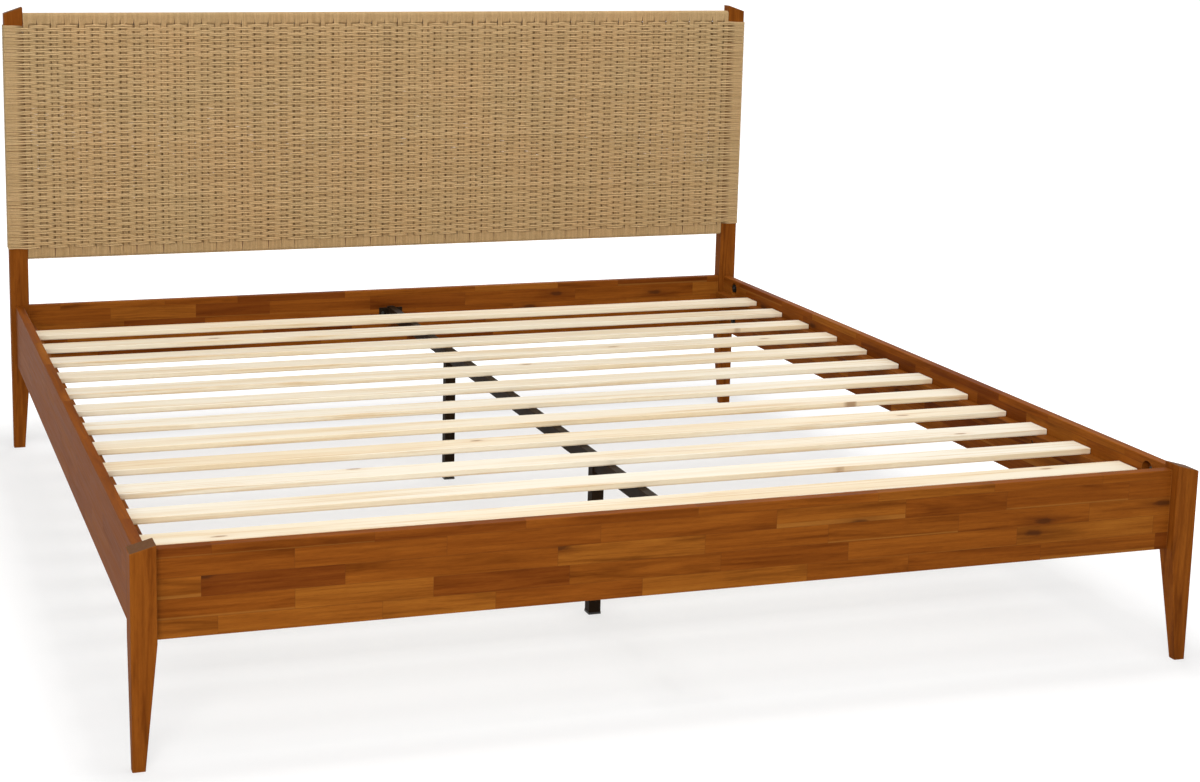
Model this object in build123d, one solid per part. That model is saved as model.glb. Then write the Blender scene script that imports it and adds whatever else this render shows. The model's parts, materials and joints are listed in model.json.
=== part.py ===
from build123d import *
import os

# A king-size platform bed with a woven cord headboard, millimetres.
# +Y runs from the foot to the headboard, +X to the right seen from the foot, +Z up.
# The origin is on the floor, under the middle of the bed's outline.

# Mattress and the room around it
mattress_width = 1930
mattress_length = 2032
mattress_side_gap = 5
mattress_end_gap = 12

# Side, foot and lower headboard rails
rail_bottom = 216
rail_height = 154
side_rail_thickness = 20
side_rail_inset = 12
foot_rail_thickness = 22
foot_rail_inset = 20
lower_rail_thickness = 20
edge_round = 2
top_round = 1

# Front legs
leg_width = 44
leg_depth = 44
leg_rise = 1
leg_top_slope = 12
leg_foot_width = 22
leg_foot_depth = 18

# Headboard posts
post_width = 46
post_depth = 34
post_height = 1111
post_top_slope = 16
post_foot_width = 28
post_foot_depth = 24

# Woven panel and the frame inside it
cord_diameter = 3
panel_bottom = 490
panel_rise = 1
panel_rail_height = 25
panel_rail_round = 4
stile_width = 40
stile_depth = 20

# Slats and the ledges that carry them
slat_count = 12
slat_width = 62
slat_thickness = 12
slat_recess = 31
slat_end_gap = 2
first_slat_gap = 99
last_slat_gap = 168
slat_round = 1.5
ledge_width = 25
ledge_height = 25
ledge_end_gap = 10

# Centre beam, its hangers and its legs, all steel tube and plate
beam_width = 20
beam_height = 30
beam_wall = 1.5
plug_head = 2
plug_length = 15
plug_clearance = 0.2
hanger_plate = 2
hanger_length = 30
hanger_width = 64
hanger_lip = 4
hanger_clearance = 0.3
centre_leg_size = 25
centre_leg_wall = 1.5
centre_leg_lap = 22
centre_leg_from_foot_rail = 495
centre_leg_from_lower_rail = 551
cap_height = 4
cap_overhang = 0.7
cap_plug_length = 18

# Dowels, pegs, screws and bolts
dowel_radius = 4
dowel_length = 40
dowel_in_post = 14
rail_dowel_count = 3
rail_dowel_margin = 27
panel_dowel_pitch = 14
peg_radius = 4
peg_in_slat = 8
peg_in_ledge = 12
wood_fit = 0.05
hole_relief = 1
screw_radius = 2
screw_head_radius = 4
screw_head_height = 2.5
screw_length = 32
screw_sink = 5
screw_clearance = 0.3
hanger_screw_length = 16
ledge_screw_count = 7
ledge_screw_margin = 120
ledge_screw_rise = 7
bolt_radius = 4
bolt_in_wood = 26
lower_bolt_rise = 39
upper_bolt_drop = 25
bolt_from_rail_face = 11
bolt_clearance = 0.5
pocket_radius = 17
pocket_from_end = 70
pocket_floor = 3.5
washer_flat = 9
washer_height = 20
washer_width = 13
washer_clearance = 0.1
nut_flats = 13
nut_height = 6.5
cross_bolt_radius = 3
cross_nut_flats = 10
cross_nut_height = 5

# Levels and faces that follow from the sizes above
rail_top = rail_bottom + rail_height
bolt_heights = (rail_bottom + lower_bolt_rise, rail_top - upper_bolt_drop)
slat_top = rail_top - slat_recess
slat_bottom = slat_top - slat_thickness
beam_bottom = slat_bottom - beam_height
cross_bolt_z = beam_bottom + beam_height / 2
clear_width = mattress_width + 2 * mattress_side_gap
clear_length = mattress_length + 2 * mattress_end_gap
slat_room = clear_length - first_slat_gap - last_slat_gap - slat_width
slat_pitch = slat_room / (slat_count - 1)
panel_top = post_height + panel_rise
half_width = clear_width / 2 + side_rail_thickness + side_rail_inset
rail_inner_x = clear_width / 2
rail_outer_x = rail_inner_x + side_rail_thickness
leg_inner_x = half_width - leg_width
post_inner_x = half_width - post_width
bolt_x = rail_outer_x - bolt_from_rail_face
lower_rail_setback = (post_depth - lower_rail_thickness) / 2
bed_length = (foot_rail_inset + foot_rail_thickness + clear_length - lower_rail_setback
              + post_depth + cord_diameter)
leg_front_y = -bed_length / 2
leg_back_y = leg_front_y + leg_depth
foot_rail_y = leg_front_y + foot_rail_inset + foot_rail_thickness
lower_rail_y = foot_rail_y + clear_length
post_front_y = lower_rail_y - lower_rail_setback
post_back_y = post_front_y + post_depth
post_middle_y = post_front_y + post_depth / 2
panel_front_y = post_front_y + cord_diameter
panel_back_y = post_back_y - cord_diameter
centre_leg_ys = [foot_rail_y + centre_leg_from_foot_rail,
                 lower_rail_y - centre_leg_from_lower_rail]


def bar(x, y, z, along, radius):
    """A straight piece between the given limits, its edges along one axis rounded."""
    size = [limits[1] - limits[0] for limits in (x, y, z)]
    middle = [(limits[0] + limits[1]) / 2 for limits in (x, y, z)]
    solid = Pos(*middle) * Box(*size)
    return fillet(solid.edges().filter_by(along), radius)


def block(x, y, z):
    """A plain box between the given limits."""
    size = [limits[1] - limits[0] for limits in (x, y, z)]
    middle = [(limits[0] + limits[1]) / 2 for limits in (x, y, z)]
    return Pos(*middle) * Box(*size)


def rod(start, axis, length, radius):
    """A round rod or hole from a point, along X, Y or Z; a negative length runs backwards."""
    turn = {"X": Rot(0, 90, 0), "Y": Rot(-90, 0, 0), "Z": Rot(0, 0, 0)}[axis]
    if length < 0:
        turn = turn * Rot(180, 0, 0)
    solid = Cylinder(radius, abs(length), align=(Align.CENTER, Align.CENTER, Align.MIN))
    return Pos(*start) * turn * solid


def hexagon(start, axis, length, flats):
    """A hexagonal nut body from a point, along X or Y."""
    turn = {"X": Rot(0, 90, 0), "Y": Rot(-90, 0, 0)}[axis]
    face = RegularPolygon(flats / 2, 6, major_radius=False)
    solid = extrude(face, abs(length))
    if length < 0:
        turn = turn * Rot(180, 0, 0)
    return Pos(*start) * turn * solid


def screw(start, axis, direction, length):
    """A pan-head wood screw: the head sits on the start point, the shank goes on from it."""
    head = rod(start, axis, -direction * screw_head_height, screw_head_radius)
    return head + rod(start, axis, direction * length, screw_radius)


def mirrored(solid):
    """The same piece on the other side of the bed."""
    return mirror(solid, about=Plane.YZ)


def both_sides(solids):
    """The pieces and their mirror images."""
    return solids + [mirrored(solid) for solid in solids]


def tapered_post(width, depth, foot_width, foot_depth, front_y, top, slope):
    """A right-hand post: outer and front faces upright, the other two tapered below the rail."""
    foot = Pos(half_width - foot_width / 2, front_y + foot_depth / 2, 0)
    knee = Pos(half_width - width / 2, front_y + depth / 2, rail_bottom)
    foot_face = foot * RectangleRounded(foot_width, foot_depth, edge_round)
    knee_face = knee * RectangleRounded(width, depth, edge_round)
    taper = loft([foot_face, knee_face], ruled=True)
    upright = extrude(knee_face, top + slope - rail_bottom)
    above = Polygon((half_width, top), (half_width - width, top + slope),
                    (half_width - width, top + 2 * slope), (half_width, top + 2 * slope),
                    align=None)
    wedge = Pos(0, front_y, 0) * extrude(Plane.XZ * above, depth, dir=(0, 1, 0))
    solid = taper + upright - wedge
    return fillet(solid.faces().sort_by(Axis.Z)[-1].edges(), top_round)


def cut(solid, tools):
    """The piece with each hole or pocket taken out of it."""
    for tool in tools:
        solid = solid - tool
    return solid


# Dowels between the rails and the legs or posts, on the right-hand side


def rail_dowels(inner_x, y, radius, relief):
    """A column of dowels, or of their holes, that joins a tall rail to a leg or post."""
    pitch = (rail_height - 2 * rail_dowel_margin) / (rail_dowel_count - 1)
    heights = [rail_bottom + rail_dowel_margin + pitch * i
               for i in range(rail_dowel_count)]
    start_x = inner_x + dowel_in_post + relief
    length = dowel_length + 2 * relief
    return [rod((start_x, y, z), "X", -length, radius) for z in heights]


def panel_dowels(z, radius, relief):
    """The pair of dowels, or of their holes, at the right end of a woven panel's rail."""
    start_x = post_inner_x + dowel_in_post + relief
    length = dowel_length + 2 * relief
    ys = [post_middle_y - panel_dowel_pitch / 2, post_middle_y + panel_dowel_pitch / 2]
    return [rod((start_x, y, z), "X", -length, radius) for y in ys]


def stile_dowel(z, radius, relief):
    """The upright dowel, or its hole, between the centre stile and one panel rail."""
    return rod((0, post_middle_y, z - dowel_in_post - relief), "Z",
               2 * dowel_in_post + 2 * relief, radius)


top_rail_z = panel_top - cord_diameter - panel_rail_height / 2
panel_rail_z = panel_bottom + cord_diameter + panel_rail_height / 2
stile_top = top_rail_z - panel_rail_height / 2
stile_bottom = panel_rail_z + panel_rail_height / 2
foot_dowel_y = foot_rail_y - foot_rail_thickness / 2


def joint_dowels(radius, relief):
    """All headboard dowels or holes on the right-hand side."""
    return (rail_dowels(post_inner_x, post_middle_y, radius, relief)
            + panel_dowels(top_rail_z, radius, relief)
            + panel_dowels(panel_rail_z, radius, relief))


head_holes = joint_dowels(dowel_radius + wood_fit, hole_relief)
stile_holes = [stile_dowel(z, dowel_radius + wood_fit, hole_relief)
               for z in (stile_bottom, stile_top)]
foot_holes = rail_dowels(leg_inner_x, foot_dowel_y, dowel_radius + wood_fit, hole_relief)

# Hanger bolts that hold the right side rail to its leg and post.
# Each has a wood thread in the leg or post, and a half-moon washer and nut in a rail pocket.


def rail_bolt(face_y, direction, z):
    """One hanger bolt with its holes, washer, nut and pocket, at one end of the side rail."""
    pocket_y = face_y + direction * pocket_from_end
    start = (bolt_x, face_y - direction * bolt_in_wood, z)
    bolt = rod(start, "Y", direction * (bolt_in_wood + pocket_from_end), bolt_radius)
    wood_start = (bolt_x, face_y - direction * (bolt_in_wood + hole_relief), z)
    wood_hole = rod(wood_start, "Y", direction * (bolt_in_wood + hole_relief),
                    bolt_radius + wood_fit)
    rail_hole = rod((bolt_x, face_y, z), "Y", direction * pocket_from_end,
                    bolt_radius + bolt_clearance)
    pocket_x = rail_outer_x - pocket_floor
    pocket_depth = pocket_x - rail_inner_x
    pocket = rod((pocket_x, pocket_y, z), "X", -pocket_depth - hole_relief, pocket_radius)
    disc = rod((bolt_x + washer_width / 2, pocket_y, z), "X", -washer_width,
               pocket_radius - washer_clearance)
    reach = sorted((pocket_y - direction * washer_flat, face_y))
    segment = disc & block((bolt_x - washer_width, bolt_x + washer_width), reach,
                           (z - washer_height / 2, z + washer_height / 2))
    washer = segment - rod((bolt_x, face_y, z), "Y", direction * pocket_from_end,
                           bolt_radius + screw_clearance)
    nut_start = (bolt_x, pocket_y - direction * washer_flat, z)
    nut = hexagon(nut_start, "Y", direction * nut_height, nut_flats)
    nut = nut - rod(nut_start, "Y", direction * nut_height, bolt_radius + wood_fit)
    return {"bolt": bolt, "wood_hole": wood_hole, "rail_hole": rail_hole,
            "pocket": pocket, "washer": washer, "nut": nut}


foot_bolts = [rail_bolt(leg_back_y, 1, z) for z in bolt_heights]
head_bolts = [rail_bolt(post_front_y, -1, z) for z in bolt_heights]

# Front legs and headboard posts

front_leg = tapered_post(leg_width, leg_depth, leg_foot_width, leg_foot_depth, leg_front_y,
                         rail_top + leg_rise, leg_top_slope)
front_leg = cut(front_leg, foot_holes + [bolt["wood_hole"] for bolt in foot_bolts])
post = tapered_post(post_width, post_depth, post_foot_width, post_foot_depth, post_front_y,
                    post_height, post_top_slope)
post = cut(post, head_holes + [bolt["wood_hole"] for bolt in head_bolts])

# Side rails with their ledges

slat_ys = [foot_rail_y + first_slat_gap + slat_pitch * i for i in range(slat_count)]
ledge_inner_x = rail_inner_x - ledge_width
ledge_start = leg_back_y + ledge_end_gap
ledge_end = post_front_y - ledge_end_gap
ledge_screw_z = slat_bottom - ledge_height + ledge_screw_rise
peg_x = rail_inner_x - ledge_width / 2
slat_middles = [y + slat_width / 2 for y in slat_ys]
screw_span = ledge_end - ledge_start - 2 * ledge_screw_margin
screw_ys = [ledge_start + ledge_screw_margin + screw_span * i / (ledge_screw_count - 1)
            for i in range(ledge_screw_count)]
screw_seat_x = ledge_inner_x + screw_sink

side_rail = bar((rail_inner_x, rail_outer_x), (leg_back_y, post_front_y),
                (rail_bottom, rail_top), Axis.Y, edge_round)
for bolt in foot_bolts + head_bolts:
    side_rail = cut(side_rail, [bolt["rail_hole"], bolt["pocket"]])
side_rail = cut(side_rail, [rod((rail_inner_x, y, ledge_screw_z), "X",
                                screw_length - ledge_width + screw_sink + hole_relief,
                                screw_radius + wood_fit) for y in screw_ys])

ledge = bar((ledge_inner_x, rail_inner_x), (ledge_start, ledge_end),
            (slat_bottom - ledge_height, slat_bottom), Axis.Y, edge_round / 2)
ledge = cut(ledge, [rod((ledge_inner_x, y, ledge_screw_z), "X", ledge_width,
                        screw_radius + screw_clearance) for y in screw_ys])
ledge = cut(ledge, [rod((ledge_inner_x, y, ledge_screw_z), "X", screw_sink,
                        screw_head_radius + screw_clearance) for y in screw_ys])
ledge = cut(ledge, [rod((peg_x, y, slat_bottom), "Z", -peg_in_ledge - hole_relief,
                        peg_radius + wood_fit) for y in slat_middles])

# Foot rail and the rails of the headboard

foot_rail = bar((-leg_inner_x, leg_inner_x), (foot_rail_y - foot_rail_thickness, foot_rail_y),
                (rail_bottom, rail_top), Axis.X, edge_round)
foot_rail = cut(foot_rail, both_sides(foot_holes))
lower_rail = bar((-post_inner_x, post_inner_x),
                 (lower_rail_y, lower_rail_y + lower_rail_thickness),
                 (rail_bottom, rail_top), Axis.X, edge_round)
lower_rail = cut(lower_rail, both_sides(head_holes))


def panel_rail(middle_z):
    """A rail that the cord goes round, rounded so that the cord bends over it."""
    solid = bar((-post_inner_x, post_inner_x), (panel_front_y, panel_back_y),
                (middle_z - panel_rail_height / 2, middle_z + panel_rail_height / 2),
                Axis.X, panel_rail_round)
    return cut(solid, both_sides(head_holes) + stile_holes)


stile = bar((-stile_width / 2, stile_width / 2),
            (post_middle_y - stile_depth / 2, post_middle_y + stile_depth / 2),
            (stile_bottom, stile_top), Axis.Z, edge_round)
stile = cut(stile, stile_holes)

# Woven panel: the upright cords go round the two panel rails, and the level cords go round
# them and the posts. Each set is drawn as one sleeve, a cord thick.

warp_middle = (0, post_middle_y, (panel_bottom + panel_top) / 2)
warp_height = panel_top - panel_bottom
warp_outside = RectangleRounded(post_depth, warp_height, panel_rail_round + cord_diameter)
warp_inside = RectangleRounded(post_depth - 2 * cord_diameter, warp_height - 2 * cord_diameter,
                               panel_rail_round)
warp = Pos(*warp_middle) * extrude(Plane.YZ * (warp_outside - warp_inside), post_inner_x,
                                   both=True)
weft_inside = Rectangle(2 * half_width, post_depth)
weft_outside = RectangleRounded(2 * (half_width + cord_diameter),
                                post_depth + 2 * cord_diameter, cord_diameter)
weft = Pos(0, post_middle_y, stile_bottom) * extrude(weft_outside - weft_inside,
                                                     stile_top - stile_bottom)

# Centre beam, its hangers, plugs and screws

hanger_reach = hanger_plate + hanger_clearance + plug_head
beam_start = foot_rail_y + hanger_reach
beam_end = lower_rail_y - hanger_reach
beam_core = (beam_width / 2 - beam_wall, beam_bottom + beam_wall, slat_bottom - beam_wall)
beam = bar((-beam_width / 2, beam_width / 2), (beam_start, beam_end),
           (beam_bottom, slat_bottom), Axis.Y, beam_wall)
beam = beam - block((-beam_core[0], beam_core[0]), (beam_start, beam_end), beam_core[1:])
cross_hole_length = centre_leg_size + 2 * hole_relief
cross_holes = [rod((-cross_hole_length / 2, y, cross_bolt_z), "X", cross_hole_length,
                   cross_bolt_radius + wood_fit) for y in centre_leg_ys]
beam = cut(beam, cross_holes)


def beam_plug(end_y, direction):
    """A plastic plug: its head covers the tube's end, its stem goes into the tube."""
    head = block((-beam_width / 2, beam_width / 2),
                 sorted((end_y, end_y - direction * plug_head)), (beam_bottom, slat_bottom))
    stem_x = beam_core[0] - plug_clearance
    stem = block((-stem_x, stem_x), sorted((end_y, end_y + direction * plug_length)),
                 (beam_core[1] + plug_clearance, beam_core[2] - plug_clearance))
    return head + stem


hanger_inner = beam_width / 2 + hanger_clearance
hanger_outer = hanger_inner + hanger_plate
hanger_bottom = beam_bottom - hanger_plate
hanger_top = slat_bottom - hanger_lip
hanger_screw_x = (hanger_width / 2 + hanger_outer) / 2
hanger_screw_z = (hanger_bottom + hanger_top) / 2


def beam_hanger(face_y, direction):
    """A steel cradle that the beam drops into, with a plate screwed to the rail."""
    plate = block((-hanger_width / 2, hanger_width / 2),
                  sorted((face_y, face_y + direction * hanger_plate)),
                  (hanger_bottom, hanger_top))
    reach = sorted((face_y, face_y + direction * hanger_length))
    cradle = block((-hanger_outer, hanger_outer), reach, (hanger_bottom, hanger_top))
    inside_y = sorted((face_y + direction * hanger_plate, face_y + direction * hanger_length))
    room = block((-hanger_inner, hanger_inner), inside_y, (beam_bottom, hanger_top))
    holes = [rod((x, face_y, hanger_screw_z), "Y", direction * hanger_plate,
                 screw_radius + screw_clearance) for x in (-hanger_screw_x, hanger_screw_x)]
    return cut(plate + cradle, [room] + holes)


def hanger_screws(face_y, direction):
    """The two screws of one hanger."""
    seat_y = face_y + direction * hanger_plate
    return [screw((x, seat_y, hanger_screw_z), "Y", -direction, hanger_screw_length)
            for x in (-hanger_screw_x, hanger_screw_x)]


def hanger_pilot_holes(face_y, direction):
    """The holes for those screws in the rail."""
    depth = hanger_screw_length - hanger_plate + hole_relief
    return [rod((x, face_y, hanger_screw_z), "Y", -direction * depth, screw_radius + wood_fit)
            for x in (-hanger_screw_x, hanger_screw_x)]


foot_rail = cut(foot_rail, hanger_pilot_holes(foot_rail_y, 1))
lower_rail = cut(lower_rail, hanger_pilot_holes(lower_rail_y, -1))

# Centre legs: square tube whose side walls rise past the beam and take a cross bolt

leg_half = centre_leg_size / 2
leg_core = leg_half - centre_leg_wall


def centre_leg(y):
    """One centre leg: open above the beam's underside at front and back."""
    solid = bar((-leg_half, leg_half), (y - leg_half, y + leg_half),
                (cap_height, beam_bottom + centre_leg_lap), Axis.Z, centre_leg_wall)
    core = block((-leg_core, leg_core), (y - leg_core, y + leg_core),
                 (cap_height, beam_bottom + centre_leg_lap))
    mouth = block((-leg_core, leg_core), (y - leg_half, y + leg_half),
                  (beam_bottom, beam_bottom + centre_leg_lap))
    return cut(solid, [core, mouth] + cross_holes)


def centre_leg_cap(y):
    """A plastic foot: a square base under the tube and a plug inside it."""
    base_half = leg_half + cap_overhang
    plug_half = leg_core - plug_clearance
    base = bar((-base_half, base_half), (y - base_half, y + base_half), (0, cap_height),
               Axis.Z, centre_leg_wall)
    return base + block((-plug_half, plug_half), (y - plug_half, y + plug_half),
                        (cap_height, cap_height + cap_plug_length))


def cross_bolt(y):
    """A hexagon-head bolt through the leg's side walls and the beam."""
    head = hexagon((leg_half, y, cross_bolt_z), "X", cross_nut_height, cross_nut_flats)
    length = centre_leg_size + cross_nut_height + hole_relief
    return head + rod((leg_half, y, cross_bolt_z), "X", -length, cross_bolt_radius)


def cross_nut(y):
    """The nut on that bolt."""
    body = hexagon((-leg_half, y, cross_bolt_z), "X", -cross_nut_height, cross_nut_flats)
    return body - rod((-leg_half, y, cross_bolt_z), "X", -cross_nut_height,
                      cross_bolt_radius + wood_fit)


# Slats, with blind holes for the pegs that stand up from the ledges


def slat(y):
    """One slat from ledge to ledge, resting on the beam in the middle."""
    reach = rail_inner_x - slat_end_gap
    solid = bar((-reach, reach), (y, y + slat_width), (slat_bottom, slat_top), Axis.X,
                slat_round)
    holes = [rod((x, y + slat_width / 2, slat_bottom), "Z", peg_in_slat + hole_relief,
                 peg_radius + wood_fit) for x in (-peg_x, peg_x)]
    return cut(solid, holes)


pegs = [rod((peg_x, y, slat_bottom - peg_in_ledge), "Z", peg_in_ledge + peg_in_slat,
            peg_radius) for y in slat_middles]
ledge_screws = [screw((screw_seat_x, y, ledge_screw_z), "X", 1, screw_length) for y in screw_ys]
stile_dowels = [stile_dowel(z, dowel_radius, 0) for z in (stile_bottom, stile_top)]

nodes = {
    "headboard_post_left": [mirrored(post)],
    "headboard_post_right": [post],
    "headboard_top_rail": [panel_rail(top_rail_z)],
    "headboard_panel_rail": [panel_rail(panel_rail_z)],
    "headboard_centre_stile": [stile],
    "headboard_lower_rail": [lower_rail],
    "headboard_dowels": both_sides(joint_dowels(dowel_radius, 0)) + stile_dowels,
    "warp_cords": [warp],
    "weft_cords": [weft],
    "side_rail_left": [mirrored(side_rail)],
    "side_rail_right": [side_rail],
    "slat_ledge_left": [mirrored(ledge)],
    "slat_ledge_right": [ledge],
    "ledge_screws": both_sides(ledge_screws),
    "foot_rail": [foot_rail],
    "front_leg_left": [mirrored(front_leg)],
    "front_leg_right": [front_leg],
    "foot_dowels": both_sides(rail_dowels(leg_inner_x, foot_dowel_y, dowel_radius, 0)),
    "centre_beam": [beam],
    "beam_end_plugs": [beam_plug(beam_start, 1), beam_plug(beam_end, -1)],
    "beam_hanger_foot": [beam_hanger(foot_rail_y, 1)],
    "beam_hanger_head": [beam_hanger(lower_rail_y, -1)],
    "beam_hanger_screws": hanger_screws(foot_rail_y, 1) + hanger_screws(lower_rail_y, -1),
    "centre_leg_front": [centre_leg(centre_leg_ys[0])],
    "centre_leg_rear": [centre_leg(centre_leg_ys[1])],
    "centre_leg_cap_front": [centre_leg_cap(centre_leg_ys[0])],
    "centre_leg_cap_rear": [centre_leg_cap(centre_leg_ys[1])],
    "centre_leg_bolts": [cross_bolt(y) for y in centre_leg_ys],
    "centre_leg_nuts": [cross_nut(y) for y in centre_leg_ys],
    "slat_pegs": both_sides(pegs),
    "hanger_bolts": both_sides([bolt["bolt"] for bolt in foot_bolts + head_bolts]),
    "half_moon_washers": both_sides([bolt["washer"] for bolt in foot_bolts + head_bolts]),
    "hanger_bolt_nuts": both_sides([bolt["nut"] for bolt in foot_bolts + head_bolts]),
}
for number, y in enumerate(slat_ys, start=1):
    nodes[f"slat_{number:02d}"] = [slat(y)]

os.makedirs("parts", exist_ok=True)
for name, solids in nodes.items():
    flat = [piece for solid in solids for piece in solid.solids()]
    shape = flat[0] if len(flat) == 1 else Compound(children=flat)
    export_step(shape, f"parts/{name}.step")
print("bed", round(2 * (half_width + cord_diameter)), round(bed_length),
      post_height + post_top_slope)
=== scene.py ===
import json
import math

import bpy
import numpy as np
from mathutils import Matrix, Vector


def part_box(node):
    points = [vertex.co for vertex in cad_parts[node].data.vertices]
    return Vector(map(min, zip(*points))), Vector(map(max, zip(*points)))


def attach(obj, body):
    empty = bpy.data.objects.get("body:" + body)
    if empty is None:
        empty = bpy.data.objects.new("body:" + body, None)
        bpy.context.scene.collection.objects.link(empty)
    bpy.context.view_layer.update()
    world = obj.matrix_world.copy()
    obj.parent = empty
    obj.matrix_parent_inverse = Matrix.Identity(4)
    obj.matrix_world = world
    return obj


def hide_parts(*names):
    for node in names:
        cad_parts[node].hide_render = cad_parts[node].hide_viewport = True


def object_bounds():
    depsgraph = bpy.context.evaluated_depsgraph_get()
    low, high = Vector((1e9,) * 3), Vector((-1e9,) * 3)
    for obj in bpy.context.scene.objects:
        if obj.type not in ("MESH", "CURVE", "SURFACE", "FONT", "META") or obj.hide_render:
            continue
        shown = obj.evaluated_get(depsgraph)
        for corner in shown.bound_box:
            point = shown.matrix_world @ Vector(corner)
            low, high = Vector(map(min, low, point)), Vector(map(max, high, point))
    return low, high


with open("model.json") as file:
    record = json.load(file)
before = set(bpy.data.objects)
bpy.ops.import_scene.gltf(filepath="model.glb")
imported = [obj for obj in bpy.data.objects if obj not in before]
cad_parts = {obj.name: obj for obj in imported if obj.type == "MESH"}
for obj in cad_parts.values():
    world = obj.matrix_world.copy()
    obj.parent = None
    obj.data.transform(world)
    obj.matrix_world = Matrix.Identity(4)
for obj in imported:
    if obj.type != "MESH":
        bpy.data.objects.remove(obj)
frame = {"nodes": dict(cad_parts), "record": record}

# A king-size platform bed with a woven paper-cord headboard, in metres.
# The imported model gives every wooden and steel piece; this script adds their finish,
# and replaces the two plain cord sleeves of the headboard with woven cords.

cad_box = [list(corner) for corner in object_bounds()]
draw = np.random.default_rng(11)

# Camera, from the photograph's perspective
photo_width = 1200
focal_pixels = 2083
sensor_width = 36
camera_place = (-1.4471, -4.2693, 1.4155)
camera_turn = -17.083
camera_tilt = 10.229
camera_roll = 0.780
camera_shift = (0.12, -0.10)


def make_camera():
    """The photograph's camera, turned about Z, then tilted down, then rolled."""
    data = bpy.data.cameras.new("camera")
    data.sensor_width = sensor_width
    data.lens = sensor_width * focal_pixels / photo_width
    data.shift_x, data.shift_y = camera_shift
    camera = bpy.data.objects.new("camera", data)
    bpy.context.scene.collection.objects.link(camera)
    turn = Matrix.Rotation(math.radians(camera_turn), 4, "Z")
    tilt = Matrix.Rotation(math.radians(90 - camera_tilt), 4, "X")
    roll = Matrix.Rotation(math.radians(camera_roll), 4, "Z")
    camera.matrix_world = Matrix.Translation(camera_place) @ turn @ tilt @ roll
    bpy.context.scene.camera = camera


# Material nodes


class Tree:
    """A material's node tree, with short calls for the nodes used here."""

    def __init__(self, name):
        self.material = bpy.data.materials.new(name)
        self.material.use_nodes = True
        self.nodes = self.material.node_tree.nodes
        self.links = self.material.node_tree.links
        self.shader = self.nodes["Principled BSDF"]

    def add(self, kind, **settings):
        node = self.nodes.new(kind)
        for name, value in settings.items():
            setattr(node, name, value)
        return node

    def feed(self, socket, value):
        if isinstance(value, bpy.types.NodeSocket):
            self.links.new(value, socket)
        else:
            socket.default_value = value

    def math(self, operation, *values, clamp=False):
        node = self.add("ShaderNodeMath", operation=operation, use_clamp=clamp)
        for socket, value in zip(node.inputs, values):
            self.feed(socket, value)
        return node.outputs[0]

    def place(self):
        """The point in the bed's frame, as x, y and z."""
        place = self.add("ShaderNodeTexCoord").outputs["Object"]
        parts = self.add("ShaderNodeSeparateXYZ")
        self.feed(parts.inputs[0], place)
        return list(parts.outputs)

    def join(self, x, y, z):
        node = self.add("ShaderNodeCombineXYZ")
        for socket, value in zip(node.inputs, (x, y, z)):
            self.feed(socket, value)
        return node.outputs[0]

    def scaled(self, parts, scales, seed=0.0):
        """A vector from three values, each times its own scale, moved along by a seed."""
        return self.join(*[self.math("MULTIPLY_ADD", part, scale, seed)
                           for part, scale in zip(parts, scales)])

    def noise(self, vector, scale=1.0, detail=3.0, roughness=0.5, distortion=0.0):
        node = self.add("ShaderNodeTexNoise")
        self.feed(node.inputs["Vector"], vector)
        for name, value in (("Scale", scale), ("Detail", detail), ("Roughness", roughness),
                            ("Distortion", distortion)):
            node.inputs[name].default_value = value
        return node.outputs[0]

    def ramp(self, value, stops):
        """A colour or grey that follows a value; stops are (position, colour)."""
        node = self.add("ShaderNodeValToRGB")
        elements = node.color_ramp.elements
        while len(elements) < len(stops):
            elements.new(0.5)
        for element, (position, colour) in zip(elements, stops):
            element.position = position
            if isinstance(colour, (int, float)):
                colour = (colour, colour, colour)
            element.color = (*colour, 1)
        self.feed(node.inputs[0], value)
        return node.outputs[0]

    def mix(self, factor, first, second, blend="MIX"):
        node = self.add("ShaderNodeMix", data_type="RGBA", blend_type=blend)
        self.feed(node.inputs[0], factor)
        for socket, value in ((node.inputs[6], first), (node.inputs[7], second)):
            if isinstance(value, tuple):
                value = (*value, 1)
            self.feed(socket, value)
        return node.outputs[2]

    def limits(self, value, low, high, to_low, to_high):
        node = self.add("ShaderNodeMapRange")
        for socket, number in zip(node.inputs, (value, low, high, to_low, to_high)):
            self.feed(socket, number)
        return node.outputs[0]

    def rounded_arrises(self, radius):
        """1 on a piece's rounded arrises, 0 on its flat faces."""
        bevel = self.add("ShaderNodeBevel", samples=6)
        bevel.inputs["Radius"].default_value = radius
        flat = self.add("ShaderNodeNewGeometry").outputs["Normal"]
        likeness = self.add("ShaderNodeVectorMath", operation="DOT_PRODUCT")
        self.feed(likeness.inputs[0], bevel.outputs[0])
        self.feed(likeness.inputs[1], flat)
        return self.limits(likeness.outputs["Value"], 0.995, 0.9, 0.0, 1.0)

    def finish(self, colour, roughness, height, depth):
        """Colour, roughness and a bump whose full height is the depth given."""
        self.feed(self.shader.inputs["Base Color"], colour)
        self.feed(self.shader.inputs["Roughness"], roughness)
        bump = self.add("ShaderNodeBump")
        bump.inputs["Strength"].default_value = 1.0
        bump.inputs["Distance"].default_value = depth
        self.feed(bump.inputs["Height"], height)
        self.links.new(bump.outputs[0], self.shader.inputs["Normal"])
        return self.material


# Acacia, in finger-jointed staves or in one board

stave_height = 0.035
stave_length = 0.27
lowest_joint = 0.249
dull_gloss = 0.03


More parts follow.
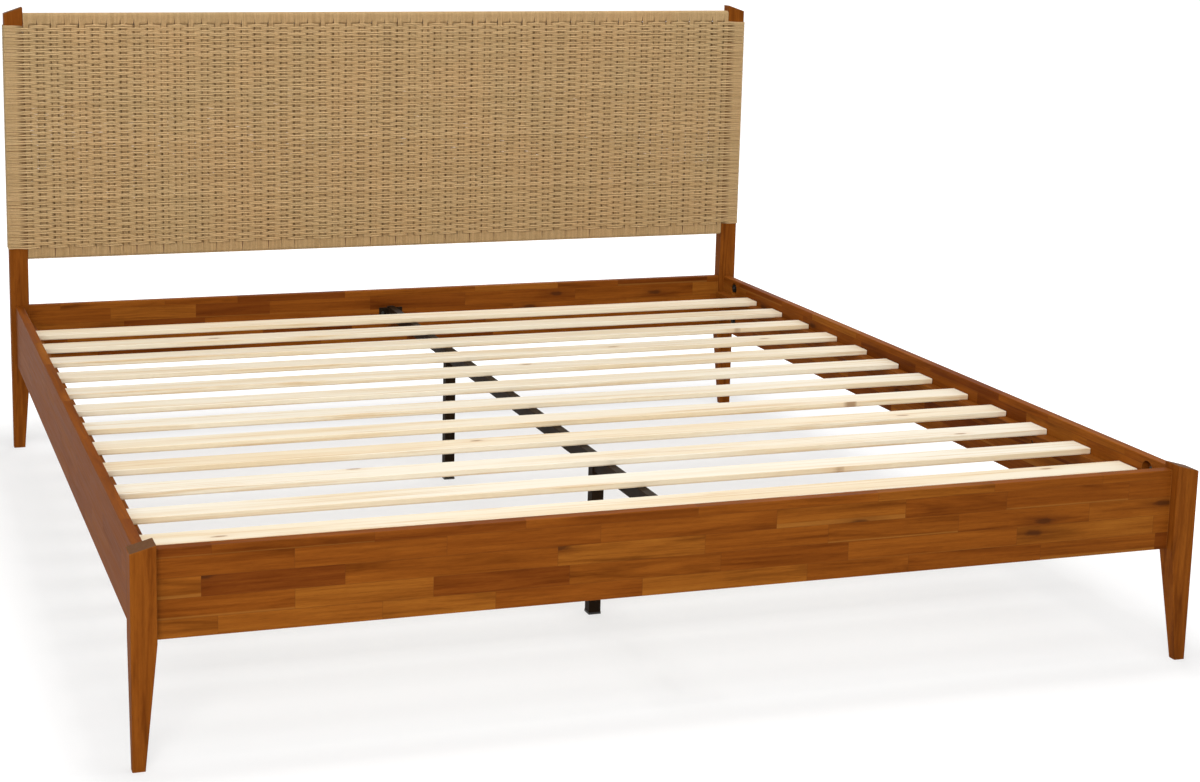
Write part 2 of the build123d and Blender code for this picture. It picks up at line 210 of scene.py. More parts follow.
def knots(tree, along, across, shift, spacing, core, share):
    """A mask of sparse knots drawn out along the grain, and one of the grain round them."""
    cells = tree.add("ShaderNodeTexVoronoi", voronoi_dimensions="2D")
    tree.feed(cells.inputs["Vector"], tree.join(
        tree.math("MULTIPLY_ADD", along, 1 / spacing[0], shift),
        tree.math("MULTIPLY", across, 1 / spacing[1]), 0.0))
    cells.inputs["Scale"].default_value = 1.0
    pick = tree.add("ShaderNodeSeparateColor")
    tree.feed(pick.inputs[0], cells.outputs["Color"])
    ragged = tree.noise(tree.scaled((along, across, across), (60.0, 160.0, 0.0)), detail=2.0)
    near = tree.math("MULTIPLY_ADD", ragged, core * 0.9, cells.outputs["Distance"])
    chosen = tree.math("LESS_THAN", pick.outputs[0], share)
    knot = tree.math("MULTIPLY", tree.limits(near, core, core * 1.6, 1.0, 0.0), chosen)
    round_it = tree.math("MULTIPLY", tree.limits(near, core, core * 3.6, 1.0, 0.0), chosen)
    return knot, round_it


def stave_rows(tree, along, across, side):
    """Each stave's tone, seed and streak, the closeness of a glue joint, and the place in
    its row; the staves lie in rows, their ends scattered."""
    level = tree.math("DIVIDE", tree.math("SUBTRACT", across, lowest_joint), stave_height)
    row = tree.math("FLOOR", level)
    run = tree.math("MULTIPLY_ADD", row, 17.37, tree.math("DIVIDE", along, stave_length))
    run = tree.math("MULTIPLY_ADD", side, 5.13, run)
    cells = tree.add("ShaderNodeTexVoronoi", voronoi_dimensions="1D")
    ends = tree.add("ShaderNodeTexVoronoi", voronoi_dimensions="1D", feature="DISTANCE_TO_EDGE")
    for node in (cells, ends):
        tree.feed(node.inputs["W"], run)
        node.inputs["Scale"].default_value = 1.0
        node.inputs["Randomness"].default_value = 0.85
    stave = tree.add("ShaderNodeSeparateColor")
    tree.feed(stave.inputs[0], cells.outputs["Color"])
    row_part = tree.math("FRACT", level)
    seam = tree.math("MINIMUM", row_part, tree.math("SUBTRACT", 1.0, row_part))
    seam = tree.math("MULTIPLY", seam, stave_height)
    gap = tree.math("MULTIPLY", ends.outputs["Distance"], stave_length)
    joint = tree.limits(tree.math("MINIMUM", seam, gap), 0.0002, 0.0009, 1.0, 0.0)
    return list(stave.outputs), joint, row_part


def one_board(tree, across, side):
    """The tone, seed and streak of a leg or post, the same all over it."""
    board = tree.add("ShaderNodeTexWhiteNoise", noise_dimensions="2D")
    tree.feed(board.inputs["Vector"], tree.join(
        side, tree.math("FLOOR", tree.math("MULTIPLY", across, 1.7)), 0.0))
    stave = tree.add("ShaderNodeSeparateColor")
    tree.feed(stave.inputs[0], board.outputs["Color"])
    tone = tree.limits(stave.outputs[0], 0.0, 1.0, 0.38, 0.66)
    return [tone, stave.outputs[1], stave.outputs[2]]


def upward(tree):
    """How far a face looks up or down, from 0 on a wall to 1 on a level face."""
    parts = tree.add("ShaderNodeSeparateXYZ")
    tree.feed(parts.inputs[0], tree.add("ShaderNodeNewGeometry").outputs["Normal"])
    return tree.math("ABSOLUTE", parts.outputs[2])


def acacia(name, along, across, deep, staves, dark):
    """Oiled acacia whose grain runs along one axis; staves lie in rows along that axis."""
    tree = Tree(name)
    parts = dict(zip("xyz", tree.place()))
    a, c, d = parts[along], parts[across], parts[deep]
    side = tree.math("FLOOR", tree.math("MULTIPLY", d, 1.7))
    joint, row_part = 0.0, None
    if staves:
        (tone, seed, streak), joint, row_part = stave_rows(tree, a, c, side)
    else:
        tone, seed, streak = one_board(tree, c, side)
    shift = tree.math("MULTIPLY", seed, 40.0)
    figure = (2.6, 30.0, 26.0) if staves else (4.5, 52.0, 46.0)
    broad = tree.noise(tree.scaled((a, c, d), figure, shift), detail=3.0, roughness=0.55,
                       distortion=1.3)
    lines = tree.noise(tree.scaled((a, c, d), (5.0, 190.0, 150.0), shift), detail=4.0,
                       roughness=0.62, distortion=0.4)
    pores = tree.noise(tree.scaled((a, c, d), (60.0, 1400.0, 1300.0), shift), detail=2.0)
    colour = tree.ramp(tone, [(0.0, (0.170, 0.039, 0.0040)), (0.12, (0.185, 0.044, 0.0045)),
                              (0.18, (0.230, 0.059, 0.0056)), (0.60, (0.255, 0.069, 0.0066)),
                              (0.84, (0.285, 0.084, 0.0088)), (1.0, (0.320, 0.103, 0.0115))])
    colour = tree.mix(1.0, colour, tree.ramp(broad, [
        (0.28, (0.62, 0.57, 0.50)), (0.46, (1.0, 1.0, 1.0)), (0.74, (1.26, 1.38, 1.50))]),
        blend="MULTIPLY")
    colour = tree.mix(0.75, colour, tree.ramp(lines, [
        (0.30, (0.70, 0.64, 0.58)), (0.50, (1.0, 1.0, 1.0)), (0.70, (1.16, 1.20, 1.25))]),
        blend="MULTIPLY")
    colour = tree.mix(0.30, colour, tree.ramp(pores, [
        (0.35, (0.50, 0.46, 0.42)), (0.50, (1.0, 1.0, 1.0))]), blend="MULTIPLY")
    # A few staves have a pale sapwood edge
    if staves:
        width = tree.math("MULTIPLY", tree.math("SUBTRACT", streak, 0.80), 1.2)
        pale = tree.limits(tree.math("SUBTRACT", width, row_part), -0.02, 0.03, 0.0, 1.0)
        colour = tree.mix(tree.math("MULTIPLY", pale, 0.40), colour, (0.40, 0.165, 0.030))
    knot, round_it = knots(tree, a, c, shift, (0.33, 0.100), 0.062, 0.55)
    colour = tree.mix(tree.math("MULTIPLY", round_it, 0.45), colour, (0.125, 0.032, 0.005))
    colour = tree.mix(tree.math("MULTIPLY", knot, 0.70), colour, (0.060, 0.018, 0.005))
    colour = tree.mix(tree.math("MULTIPLY", joint, 0.30), colour, (0.090, 0.030, 0.008))
    # Painted highlight: the rounded arrises are painted a paler honey, where they catch the
    # light
    edge = tree.rounded_arrises(0.003)
    colour = tree.mix(tree.math("MULTIPLY", edge, 0.35), colour, (0.42, 0.165, 0.035))
    # The outsides of the side rails are picked for an even tone
    if along == "y":
        calm = tree.limits(tree.math("ABSOLUTE", d), 0.980, 0.988, 0.0, 0.72)
        colour = tree.mix(calm, colour, (0.222, 0.060, 0.0070))
    # Sawn ends drink more oil and look darker and greyer
    if along == "z":
        rings = tree.noise(tree.scaled(tree.place(), (170.0, 60.0, 20.0), shift), detail=3.0)
        sawn = tree.mix(rings, (0.115, 0.048, 0.018), (0.175, 0.080, 0.034))
        colour = tree.mix(tree.limits(upward(tree), 0.75, 0.92, 0.0, 1.0), colour, sawn)
    colour = tree.mix(1.0, colour, (dark, dark, dark), blend="MULTIPLY")
    roughness = tree.limits(lines, 0.3, 0.7, 0.50, 0.64)
    height = tree.math("MULTIPLY_ADD", joint, -0.4, tree.math("ADD", lines,
                       tree.math("MULTIPLY", pores, 0.35)))
    tree.shader.inputs["Specular IOR Level"].default_value = dull_gloss
    return tree.finish(colour, roughness, height, 0.00014)


# Pine slats

slat_room = 0.157
slat_foot = 0.327
foot_shade_band = (slat_foot + 0.0015, slat_foot + 0.0035)


def pine():
    """Planed pine slats, the grain along X, each slat a little different."""
    tree = Tree("pine")
    x, y, z = tree.place()
    board = tree.add("ShaderNodeTexWhiteNoise", noise_dimensions="1D")
    tree.feed(board.inputs["W"], tree.math("FLOOR", tree.math("DIVIDE", tree.math(
        "ADD", y, slat_room / 2 + 1.0), slat_room)))
    slat_tone = tree.add("ShaderNodeSeparateColor")
    tree.feed(slat_tone.inputs[0], board.outputs["Color"])
    tone, seed, _ = slat_tone.outputs
    shift = tree.math("MULTIPLY", seed, 50.0)
    broad = tree.noise(tree.scaled((x, y, z), (1.1, 16.0, 16.0), shift), detail=2.0,
                       distortion=1.1)
    rings = tree.noise(tree.scaled((x, y, z), (2.4, 130.0, 90.0), shift), detail=3.0,
                       roughness=0.6, distortion=0.5)
    fibres = tree.noise(tree.scaled((x, y, z), (30.0, 1500.0, 1200.0), shift), detail=2.0)
    colour = tree.mix(tone, (0.86, 0.745, 0.555), (0.88, 0.81, 0.67))
    colour = tree.mix(1.0, colour, tree.ramp(broad, [
        (0.30, (0.93, 0.85, 0.73)), (0.50, (1.0, 1.0, 1.0)), (0.70, (1.03, 1.05, 1.08))]),
        blend="MULTIPLY")
    colour = tree.mix(0.9, colour, tree.ramp(rings, [
        (0.32, (0.85, 0.72, 0.57)), (0.46, (1.0, 1.0, 1.0))]), blend="MULTIPLY")
    colour = tree.mix(0.25, colour, tree.ramp(fibres, [
        (0.35, (0.85, 0.77, 0.66)), (0.50, (1.0, 1.0, 1.0))]), blend="MULTIPLY")
    knot, round_it = knots(tree, x, y, shift, (0.42, 0.13), 0.036, 0.32)
    colour = tree.mix(tree.math("MULTIPLY", round_it, 0.35), colour, (0.70, 0.46, 0.25))
    colour = tree.mix(tree.math("MULTIPLY", knot, 0.75), colour, (0.30, 0.16, 0.075))
    # Painted light: the edges are a little paler than the top, with painted shade in a darker
    # line along the foot
    colour = tree.mix(tree.limits(upward(tree), 0.3, 0.8, 1.0, 0.0), colour,
                      tree.mix(1.0, colour, tree.mix(
                          tree.limits(z, *foot_shade_band, 0.0, 1.0),
                          (0.84, 0.74, 0.62), (1.08, 1.05, 0.98)), blend="MULTIPLY"))
    roughness = tree.limits(rings, 0.3, 0.7, 0.66, 0.56)
    height = tree.math("ADD", rings, tree.math("MULTIPLY", fibres, 0.5))
    tree.shader.inputs["Specular IOR Level"].default_value = 0.25
    return tree.finish(colour, roughness, height, 0.00012)


# Steel, plastic and hidden wood


def painted_steel():
    """Dark brown powder coat, a little rubbed at the arrises."""
    tree = Tree("dark_steel")
    place = tree.add("ShaderNodeTexCoord").outputs["Object"]
    skin = tree.noise(place, scale=900.0, detail=2.0)
    cloud = tree.noise(place, scale=9.0, detail=3.0)
    colour = tree.mix(1.0, (0.019, 0.011, 0.0055), tree.ramp(cloud, [
        (0.3, (0.75, 0.75, 0.78)), (0.7, (1.25, 1.2, 1.15))]), blend="MULTIPLY")
    colour = tree.mix(tree.math("MULTIPLY", tree.rounded_arrises(0.0015), 0.5), colour,
                      (0.075, 0.050, 0.034))
    tree.shader.inputs["Specular IOR Level"].default_value = 0.04
    return tree.finish(colour, tree.limits(cloud, 0.3, 0.7, 0.45, 0.60), skin, 0.0001)


def black_plastic():
    """Finely grained black plastic of plugs and feet."""
    tree = Tree("black_plastic")
    place = tree.add("ShaderNodeTexCoord").outputs["Object"]
    skin = tree.noise(place, scale=1500.0, detail=2.0)
    cloud = tree.noise(place, scale=40.0, detail=2.0)
    colour = tree.mix(cloud, (0.014, 0.013, 0.012), (0.028, 0.026, 0.024))
    return tree.finish(colour, tree.limits(cloud, 0.3, 0.7, 0.45, 0.6), skin, 0.00008)


def bolt_steel():
    """Black oxide on screws, bolts, washers and nuts."""
    tree = Tree("bolt_steel")
    place = tree.add("ShaderNodeTexCoord").outputs["Object"]
    cloud = tree.noise(place, scale=120.0, detail=4.0)
    colour = tree.mix(cloud, (0.045, 0.042, 0.038), (0.080, 0.076, 0.068))
    tree.shader.inputs["Metallic"].default_value = 1.0
    return tree.finish(colour, tree.limits(cloud, 0.3, 0.7, 0.40, 0.58), cloud, 0.0001)


def plain_wood(name, pale, brown):
    """Unfinished wood of dowels and of the pieces inside the panel."""
    tree = Tree(name)
    x, y, z = tree.place()
    lines = tree.noise(tree.scaled((x, y, z), (40.0, 160.0, 160.0)), detail=3.0)
    colour = tree.mix(lines, pale, brown)
    return tree.finish(colour, 0.7, lines, 0.0001)


def paper_cord():
    """Twisted kraft paper: fine slanting ply lines with painted shade in their grooves, each
    cord with a tone of its own, and painted shade where a cord dives under its neighbours."""
    tree = Tree("paper_cord")
    place = tree.add("ShaderNodeTexCoord").outputs["Object"]
    along = tree.add("ShaderNodeAttribute", attribute_name="cord_along").outputs["Fac"]
    around = tree.add("ShaderNodeAttribute", attribute_name="cord_around").outputs["Fac"]
    own = tree.add("ShaderNodeAttribute", attribute_name="cord_tone").outputs["Fac"]
    deep = tree.add("ShaderNodeAttribute", attribute_name="cord_painted_shade").outputs["Fac"]
    turns = tree.math("ADD", tree.math("DIVIDE", along, ply_pitch), around)
    wave = tree.math("SINE", tree.math("MULTIPLY", turns, 2 * math.pi * cord_plies))
    ply = tree.math("MULTIPLY_ADD", wave, 0.5, 0.5)
    mottle = tree.noise(place, scale=6.0, detail=3.0)
    fleck = tree.noise(place, scale=240.0, detail=3.0, roughness=0.6)
    colour = tree.mix(own, (0.590, 0.398, 0.188), (0.700, 0.490, 0.248))
    colour = tree.mix(1.0, colour, tree.ramp(mottle, [
        (0.35, (0.98, 0.99, 1.0)), (0.65, (1.03, 1.00, 0.99))]), blend="MULTIPLY")
    colour = tree.mix(0.5, colour, tree.ramp(fleck, [
        (0.30, (0.82, 0.79, 0.75)), (0.50, (1.0, 1.0, 1.0)), (0.72, (1.12, 1.13, 1.14))]),
        blend="MULTIPLY")
    # Painted shade: the grooves between the plies are darkened
    colour = tree.mix(tree.limits(ply, 0.0, 0.35, 0.30, 0.0), colour, (0.42, 0.25, 0.11))
    # Painted shade: each point of a cord is darkened by the amount of shade it carries
    colour = tree.mix(tree.limits(deep, 0.20, 1.0, 0.0, 0.80), colour, (0.190, 0.100, 0.034))
    height = tree.math("ADD", ply, tree.math("MULTIPLY", fleck, 0.4))
    tree.shader.inputs["Specular IOR Level"].default_value = 0.25
    return tree.finish(colour, 0.85, height, 0.00022)


# Woven cords of the headboard

cord_thickness = 0.003
cord_pitch = 0.00314
ply_pitch = 0.008
cord_plies = 3
column_count = 56
column_cords = 11
column_pitch = column_cords * cord_pitch
bundle_cords = 4
row_count = 76
weft_height = 0.0018
weft_bands = 6
weft_bend = 0.0035
weave_foot_room = 0.001
weave_head_room = 0.002
weave_side_room = 0.0003
tube_sides = 6
dive_depth = 0.0062
dive_steps = (-0.0140, -0.0095, -0.0060, 0.0060, 0.0095, 0.0140)
over_steps = (-0.0085, 0.0, 0.0085)
spread_width = 0.0095
dive_reach = (0.006, 0.0095, 0.014)
dive_shares = (1.0, 0.52, 0.0)
drift_step = 0.0004
drift_limit = 0.0012
pull_range = (0.6, 1.35)
pinch_length = 0.024
post_places = (0.990, 0.9795, 0.9705, 0.9640, 0.9585)
sway_height = 0.00022
sway_waves = (9, 23)
warp_bend = 0.0055
warp_width = 0.475
short_loop = 0.1
straight_end = 0.025
lean_top_length = 0.014
lean_low_length = 0.028
lean_overlap = 0.01
bundle_lean = 0.0016
wrap_lean = -0.0018
wrap_shade = 0.28


def arc(centre, radius, start, end, steps):
    """Points of an arc in a plane; start and end in degrees."""
    angles = np.radians(np.linspace(start, end, steps))
    return [(centre[0] + radius * math.cos(t), centre[1] + radius * math.sin(t))
            for t in angles]


def tubes(name, rings, reference, wide, deep, node):
    """One mesh of closed cords. Each ring is an array of centre points, how much painted shade
    each takes, which on the wefts is how deep it lies under its neighbours, and how far it is
    flattened there; the section is wide along the reference axis and deep across it."""
    reference = np.array(reference, float)
    turn = 2 * np.pi * (np.arange(tube_sides) + 0.5) / tube_sides
    points, faces, maps = [], [], []
    along, around, tone, hidden = [], [], [], []
    start = 0
    for number, ring in enumerate(rings):
        shade_share, swell, ring = ring[:, 3], ring[:, 4], ring[:, :3]
        count = len(ring)
        ahead = np.roll(ring, -1, axis=0) - np.roll(ring, 1, axis=0)
        ahead /= np.linalg.norm(ahead, axis=1)[:, None]
        outward = np.cross(ahead, reference)
        outward /= np.linalg.norm(outward, axis=1)[:, None]
        level = np.cross(outward, ahead)
        shell = (ring[:, None] + outward[:, None] * (deep * np.cos(turn))[None, :, None]
                 + level[:, None] * (wide * np.sin(turn))[None, :, None] * swell[:, None, None])
        points.append(shell.reshape(-1, 3))
        place = np.arange(count)[:, None] * tube_sides
        place_next = (np.arange(count)[:, None] + 1) % count * tube_sides
        side = np.arange(tube_sides)[None, :]
        side_next = (side + 1) % tube_sides
        faces.append(np.stack([place + side, place_next + side, place_next + side_next,
                               place + side_next], axis=-1).reshape(-1, 4) + start)
        start += count * tube_sides
        length = np.linalg.norm(np.roll(ring, -1, axis=0) - ring, axis=1)
        travelled = np.concatenate([[0], np.cumsum(length)])
        along.append(np.repeat(travelled[:-1], tube_sides))
        around.append(np.tile(turn / (2 * np.pi), count))
        tone.append(np.full(count * tube_sides, draw.uniform()))
        hidden.append(np.repeat(shade_share, tube_sides))
        low = (travelled[:-1] / travelled[-1])[:, None]
        high = (travelled[1:] / travelled[-1])[:, None]
        bottom = (number + 0.04 + 0.92 * side / tube_sides) / len(rings)
        top = (number + 0.04 + 0.92 * (side + 1) / tube_sides) / len(rings)
        ones = np.ones((count, tube_sides))
        maps.append(np.stack([low * ones, bottom * ones, high * ones, bottom * ones,
                              high * ones, top * ones, low * ones, top * ones],
                             axis=-1).reshape(-1, 2))
    points = np.concatenate(points)
    faces = np.concatenate(faces)
    mesh = bpy.data.meshes.new(name)
    mesh.vertices.add(len(points))
    mesh.vertices.foreach_set("co", points.astype(np.float32).ravel())
    mesh.loops.add(faces.size)
    mesh.loops.foreach_set("vertex_index", faces.astype(np.int32).ravel())
    mesh.polygons.add(len(faces))
    mesh.polygons.foreach_set("loop_start", np.arange(0, faces.size, 4, dtype=np.int32))
    mesh.polygons.foreach_set("use_smooth", np.ones(len(faces), bool))
    mesh.update(calc_edges=True)
    for label, values in (("cord_along", along), ("cord_around", around), ("cord_tone", tone),
                          ("cord_painted_shade", hidden)):
        attribute = mesh.attributes.new(label, "FLOAT", "POINT")
        attribute.data.foreach_set("value", np.concatenate(values).astype(np.float32))
    layer = mesh.uv_layers.new(name="OFBake")
    layer.data.foreach_set("uv", np.concatenate(maps).astype(np.float32).ravel())
    mesh.materials.append(materials["paper_cord"])
    cords = bpy.data.objects.new(name, mesh)
    bpy.context.scene.collection.objects.link(cords)
    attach(cords, "root")
    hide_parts(node)


def weave():
    """Level cords in pairs, over and under bundles of upright cords, on both faces."""
    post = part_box("headboard_post_right")
    warp_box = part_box("warp_cords")
    weft_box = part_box("weft_cords")
    middle_y = (post[0][1] + post[1][1]) / 2
    post_half = (post[1][1] - post[0][1]) / 2
    inner_x = warp_box[1][0]
    outer_x = weft_box[1][0] - cord_thickness
    half = cord_thickness / 2
    face = post_half + half
    bottom = weft_box[0][2] + weave_foot_room
    top = weft_box[1][2] - weave_head_room
    row_pitch = (top - bottom) / row_count
    first_column = -(column_count - 1) / 2 * column_pitch
    columns = first_column + column_pitch * np.arange(column_count)
    stretch = (inner_x - cord_pitch * bundle_cords / 2 - weave_side_room) / columns[-1]
    columns = columns * stretch
    drift = draw.normal(0, drift_step, (2, row_count, column_count)).cumsum(axis=1)
    drift -= drift.mean(axis=1, keepdims=True)
    drift = np.clip(drift, -drift_limit, drift_limit)
    pull = draw.uniform(*pull_range, (2, row_count, column_count))
    dive_depths = [dive_depth * share for share in dive_shares]

    def face_points(row, strand, back):
        """One cord's centre line across one face, from left to right."""
        centre = bottom + row_pitch * (row + 0.5)
        up = 1 if strand else -1
        points = []

        def on_post(side, places):
            """Beside a post's inner edge the rows that dive there are pinched by the others,
            and take painted shade.
            """
            first = 0 if side < 0 else column_count - 1
            dives = (row + first) % 2 == 1
            for place in places:
                near = min(max(1 - (place - inner_x) / pinch_length, 0), 1)
                near *= 0.5 + 0.5 * pull[back, row, first]
                if dives:
                    points.append((side * place, face, centre + up * row_pitch / 4
                                   * (1 - 0.45 * near), min(1.3 * near, 1), 1 - 0.4 * near))
                else:
                    points.append((side * place, face + 0.0008 * near, centre + up
                                   * (row_pitch / 4 + 0.0010 * near), 0, 1 + 0.25 * near))

        on_post(-1, post_places)
        for column, x in enumerate(columns):
            dives = (row + column) % 2 == 1
            edge = column in (0, column_count - 1)
            for step in dive_steps if dives else over_steps:
                nearness = math.exp(-(step / spread_width) ** 2)
                strength = pull[back, row, column]
                if dives:
                    deep = np.interp(abs(step), dive_reach, dive_depths)
                    apart = row_pitch / 4 - 0.0005 * nearness
                    swell = 1 - 0.15 * nearness
                else:
                    deep = -0.0010 * nearness * strength
                    apart = row_pitch / 4 + 0.0008 * nearness * strength
                    swell = 1 + 0.30 * nearness * strength
                place = x + step
                if abs(place) > inner_x:
                    continue
                place += drift[back, row, column] * (0.3 if edge else 1)
                # The fourth value is the painted shade, greater the deeper the cord dives
                points.append((place, face - deep, centre + up * apart,
                               max(deep, 0) / dive_depth, swell))
        on_post(1, reversed(post_places))
        return points

    def ring(row, strand):
        """One cord's whole way round the panel and both posts."""
        front = face_points(row, strand, 0)
        rear = face_points(row, strand, 1)
        wobble = draw.uniform(0, 2 * np.pi, 4)
        centre = bottom + row_pitch * (row + 0.5) + (1 if strand else -1) * row_pitch / 4
        corner = (outer_x + half - weft_bend, face - weft_bend)
        bend = arc(corner, weft_bend, 90, 0, 4)
        path = [(x, -y, *rest) for x, y, *rest in front]
        path += [(x, -y, centre, 0, 1) for x, y in bend]
        path += [(x, y, centre, 0, 1) for x, y in reversed(bend)]
        path += list(reversed(rear))
        path += [(-x, y, centre, 0, 1) for x, y in bend]
        path += [(-x, -y, centre, 0, 1) for x, y in reversed(bend)]
        path = np.array(path)
        long_wave = np.sin(path[:, 0] * sway_waves[0] + wobble[0])
        short_wave = np.sin(path[:, 0] * sway_waves[1] + wobble[1])
        path[:, 2] += sway_height * (long_wave + short_wave)
        path[:, 1] += middle_y
        return path

    edges = np.linspace(0, row_count, weft_bands + 1).astype(int)
    for band in range(weft_bands):
        rows = range(edges[band], edges[band + 1])
        rings = [ring(row, strand) for row in rows for strand in (0, 1)]
        tubes(f"headboard_weft_{band + 1}", rings, (0, 0, 1), weft_height, half, "weft_cords")
    return columns, middle_y


def warp_loops(columns, middle_y):
    """Upright cords round the whole panel, and short ones round each rail between them."""
    warp_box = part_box("warp_cords")
    top_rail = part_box("headboard_top_rail")
    low_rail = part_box("headboard_panel_rail")
    half = cord_thickness / 2
    deep = (warp_box[1][1] - warp_box[0][1]) / 2 - half
    rail_top, rail_low = top_rail[0][2], low_rail[1][2]
    long_cords, top_wraps, low_wraps = [], [], []
    pitch = columns[1] - columns[0]
    step = pitch / column_cords
    inner_x = warp_box[1][0] - half

    # Painted shade: each column's bundle takes its own amount where it lies under the wefts
    shades = draw.uniform(0.15, 0.60, len(columns) + 1)

    def loop(x, low, high, lean_top, lean_low, shade=0.0):
        """A closed loop round the limits given; the leans open a gap beside a bundle."""
        corner = deep - warp_bend
        start, end = low + warp_bend, high - warp_bend
        if high - low < short_loop:
            straight = np.linspace(start, end, 5)
        else:
            straight = np.concatenate([np.linspace(start, start + straight_end, 5),
                                       np.linspace(end - straight_end, end, 5)])
        path = [(-deep, z) for z in straight]
        path += arc((-corner, end), warp_bend, 180, 90, 4)[1:]
        path += arc((corner, end), warp_bend, 90, 0, 4)
        path += arc((corner, start), warp_bend, 0, -90, 4)
        path += arc((-corner, start), warp_bend, -90, -180, 4)[:-1]
        across, level = np.array(path).T
        near_top = np.clip(1 - (level - rail_top) / lean_top_length, 0, 1)
        near_top *= level > rail_top - lean_overlap
        near_low = np.clip(1 - (rail_low - level) / lean_low_length, 0, 1)
        near_low *= level < rail_low + lean_overlap
        woven = (level > rail_low + 0.001) & (level < rail_top - 0.0005)
        points = np.ones((len(path), 5))
        points[:, 0] = x + (lean_top * near_top + lean_low * near_low)
        points[:, 1] = across + middle_y
        points[:, 2] = level
        # Painted shade: the woven part takes the amount given, the wraps a light even one
        points[:, 3] = np.where(woven, shade, wrap_shade)
        return points

    slots = draw.uniform(0.25, 1.0, (2, len(columns) + 1))
    for number in range(-1, len(columns)):
        left = columns[0] - pitch if number < 0 else columns[number]
        for cord in range(column_cords):
            x = left + (cord - (bundle_cords - 1) / 2) * step
            if abs(x) > inner_x:
                continue
            nearest = number if cord < bundle_cords else number + 1
            strong = slots[:, min(nearest, len(columns))].copy()
            strong[1] *= 1.3 if nearest % 2 == 0 else 0.25
            if cord < bundle_cords:
                lean = bundle_lean * (1 - cord / bundle_cords)
                long_cords.append(loop(x, warp_box[0][2] + half, warp_box[1][2] - half,
                                       lean * strong[0], lean * strong[1], shades[number]))
                continue
            lean = wrap_lean * max(0, (cord - 6) / 4)
            top_wraps.append(loop(x, top_rail[0][2] - half, warp_box[1][2] - half,
                                  lean * strong[0], 0))
            low_wraps.append(loop(x, warp_box[0][2] + half, low_rail[1][2] + half,
                                  0, lean * strong[1]))
    wide = step * warp_width
    tubes("headboard_warp", long_cords, (1, 0, 0), wide, half, "warp_cords")
    tubes("headboard_top_wraps", top_wraps, (1, 0, 0), wide, half, "warp_cords")
    tubes("headboard_low_wraps", low_wraps, (1, 0, 0), wide, half, "warp_cords")


# Floor, light and background

floor_shade = 0.40
floor_glow = 0.585
floor_half = 30
white_from = 0.04
white_at = 0.60
bounce_shade = 0.80
ambient_strength = 0.42


def white_where_seen(tree, plain, seen):
    """One shader for what the camera, gloss and glass see, another for light that bounces."""
    rays = tree.add("ShaderNodeLightPath")
    factor = tree.math("ADD", rays.outputs["Is Camera Ray"], rays.outputs["Is Glossy Ray"])
    factor = tree.math("ADD", factor, rays.outputs["Is Transmission Ray"], clamp=True)
    mixer = tree.add("ShaderNodeMixShader")
    tree.feed(mixer.inputs[0], factor)
    tree.links.new(plain, mixer.inputs[1])
    tree.links.new(seen, mixer.inputs[2])
    return mixer.outputs[0]


def make_floor():
    """A white floor that keeps the bed's shadow, glows less within and near the bed's box as a
    painted shade round the bed, and is plain white further away.
    """
    mesh = bpy.data.meshes.new("floor")
    corners = ((-1, -1), (1, -1), (1, 1), (-1, 1))
    mesh.from_pydata([(x * floor_half, y * floor_half, 0) for x, y in corners],
                     [], [(0, 1, 2, 3)])
    floor = bpy.data.objects.new("floor", mesh)
    bpy.context.scene.collection.objects.link(floor)
    tree = Tree("floor")
    diffuse, shaded = tree.add("ShaderNodeBsdfDiffuse"), tree.add("ShaderNodeBsdfDiffuse")
    for node, shade in ((diffuse, bounce_shade), (shaded, floor_shade)):
        node.inputs["Color"].default_value = (shade, shade, shade, 1)
    x, y, _ = tree.place()
    away = tree.math("MAXIMUM", *[tree.math("SUBTRACT", tree.math("ABSOLUTE", place), half)
                                  for place, half in ((x, cad_box[1][0]), (y, cad_box[1][1]))])
    glow = tree.add("ShaderNodeEmission")
    glow.inputs["Color"].default_value = (1, 1, 1, 1)
    # Painted shade: the glow is lowest within the bed's box and rises to plain white away from
    # it
    tree.feed(glow.inputs["Strength"], tree.limits(away, white_from, white_at, floor_glow, 1.0))
    both = tree.add("ShaderNodeAddShader")
    tree.links.new(shaded.outputs[0], both.inputs[0])
    tree.links.new(glow.outputs[0], both.inputs[1])
    surface = white_where_seen(tree, diffuse.outputs[0], both.outputs[0])
    tree.links.new(surface, tree.nodes["Material Output"].inputs["Surface"])
    mesh.materials.append(tree.material)


def make_world():
    """Plain light from all round; white where the camera or a gloss looks at it."""
    world = bpy.data.worlds.new("studio")
    bpy.context.scene.world = world
    world.use_nodes = True
    nodes, links = world.node_tree.nodes, world.node_tree.links
    ambient = nodes["Background"]
    ambient.inputs["Color"].default_value = (1, 1, 1, 1)
    ambient.inputs["Strength"].default_value = ambient_strength
    white = nodes.new("ShaderNodeBackground")
    white.inputs["Color"].default_value = (1, 1, 1, 1)
    white.inputs["Strength"].default_value = 1.0
    rays = nodes.new("ShaderNodeLightPath")
    first, second = nodes.new("ShaderNodeMath"), nodes.new("ShaderNodeMath")
    first.operation = second.operation = "ADD"
    second.use_clamp = True
    links.new(rays.outputs["Is Camera Ray"], first.inputs[0])
    links.new(rays.outputs["Is Glossy Ray"], first.inputs[1])
    links.new(first.outputs[0], second.inputs[0])
    links.new(rays.outputs["Is Transmission Ray"], second.inputs[1])
    mixer = nodes.new("ShaderNodeMixShader")
    links.new(second.outputs[0], mixer.inputs[0])
    links.new(ambient.outputs[0], mixer.inputs[1])
    links.new(white.outputs[0], mixer.inputs[2])
    links.new(mixer.outputs[0], nodes["World Output"].inputs["Surface"])


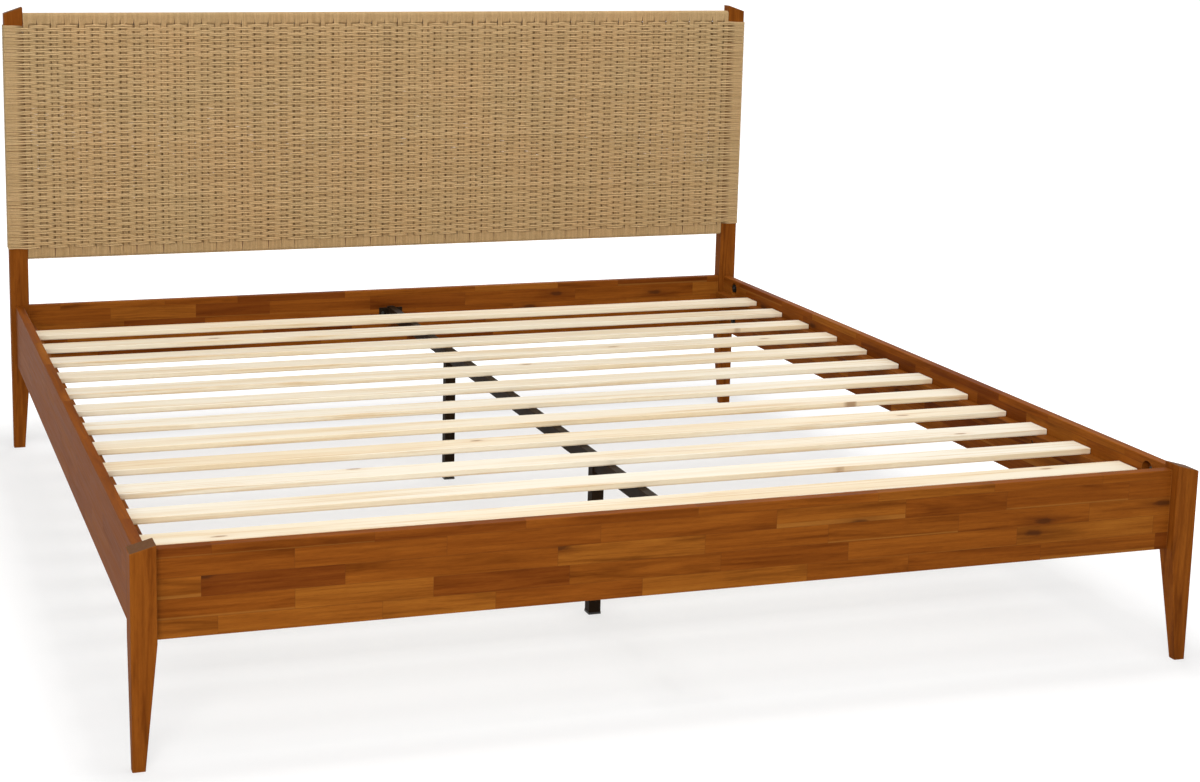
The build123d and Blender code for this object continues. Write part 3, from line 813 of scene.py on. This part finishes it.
def lamp(name, place, target, size, power):
    """A round lamp that the camera doesn't see, turned towards a target."""
    data = bpy.data.lights.new(name, "AREA")
    data.shape = "DISK"
    data.size = size
    data.energy = power
    light = bpy.data.objects.new(name, data)
    light.location = place
    aim = Vector(target) - Vector(place)
    light.rotation_mode = "QUATERNION"
    light.rotation_quaternion = aim.to_track_quat("-Z", "Y")
    light.visible_camera = False
    bpy.context.scene.collection.objects.link(light)


# The build

materials = {
    "acacia_x": acacia("acacia_x", "x", "z", "y", True, 0.95),
    "acacia_y": acacia("acacia_y", "y", "z", "x", True, 0.95),
    "acacia_z": acacia("acacia_z", "z", "x", "y", False, 0.88),
    "ledge_wood": acacia("ledge_wood", "y", "z", "x", False, 0.75),
    "pine": pine(),
    "dark_steel": painted_steel(),
    "black_plastic": black_plastic(),
    "bolt_steel": bolt_steel(),
    "dowel_wood": plain_wood("dowel_wood", (0.62, 0.45, 0.27), (0.45, 0.29, 0.15)),
    # Painted shade: the wood inside the panel is darker than its bare wood, for shade in the
    # gaps of the weave
    "hidden_wood": plain_wood("hidden_wood", (0.30, 0.17, 0.075), (0.20, 0.105, 0.045)),
    "paper_cord": paper_cord(),
}
own_finish = {
    "foot_rail": "acacia_x", "headboard_lower_rail": "acacia_x",
    "side_rail_left": "acacia_y", "side_rail_right": "acacia_y",
    "front_leg_left": "acacia_z", "front_leg_right": "acacia_z",
    "headboard_post_left": "acacia_z", "headboard_post_right": "acacia_z",
    "slat_ledge_left": "ledge_wood", "slat_ledge_right": "ledge_wood",
}
slots = {part["node"]: part["material_slot"] for part in frame["record"]["subparts"]}
for name, node in frame["nodes"].items():
    finish = materials[own_finish.get(name) or slots[name]]
    if node.data.materials:
        for index in range(len(node.data.materials)):
            node.data.materials[index] = finish
    else:
        node.data.materials.append(finish)

columns, middle_y = weave()
warp_loops(columns, middle_y)
make_camera()
make_floor()
make_world()
lamp("key", (0.0, -1.2, 2.1), (0, 0, 0), 0.14, 3)
lamp("ceiling", (0.0, -0.3, 6.0), (0, -0.3, 0), 2.7, 143)
lamp("fill", (-2.5, -6.0, 3.0), (0, 0, 0.4), 3.0, 195)
lamp("back", (2.5, 6.0, 3.5), (0, 0, 0.6), 3.0, 80)

bpy.context.scene.view_settings.view_transform = "Standard"
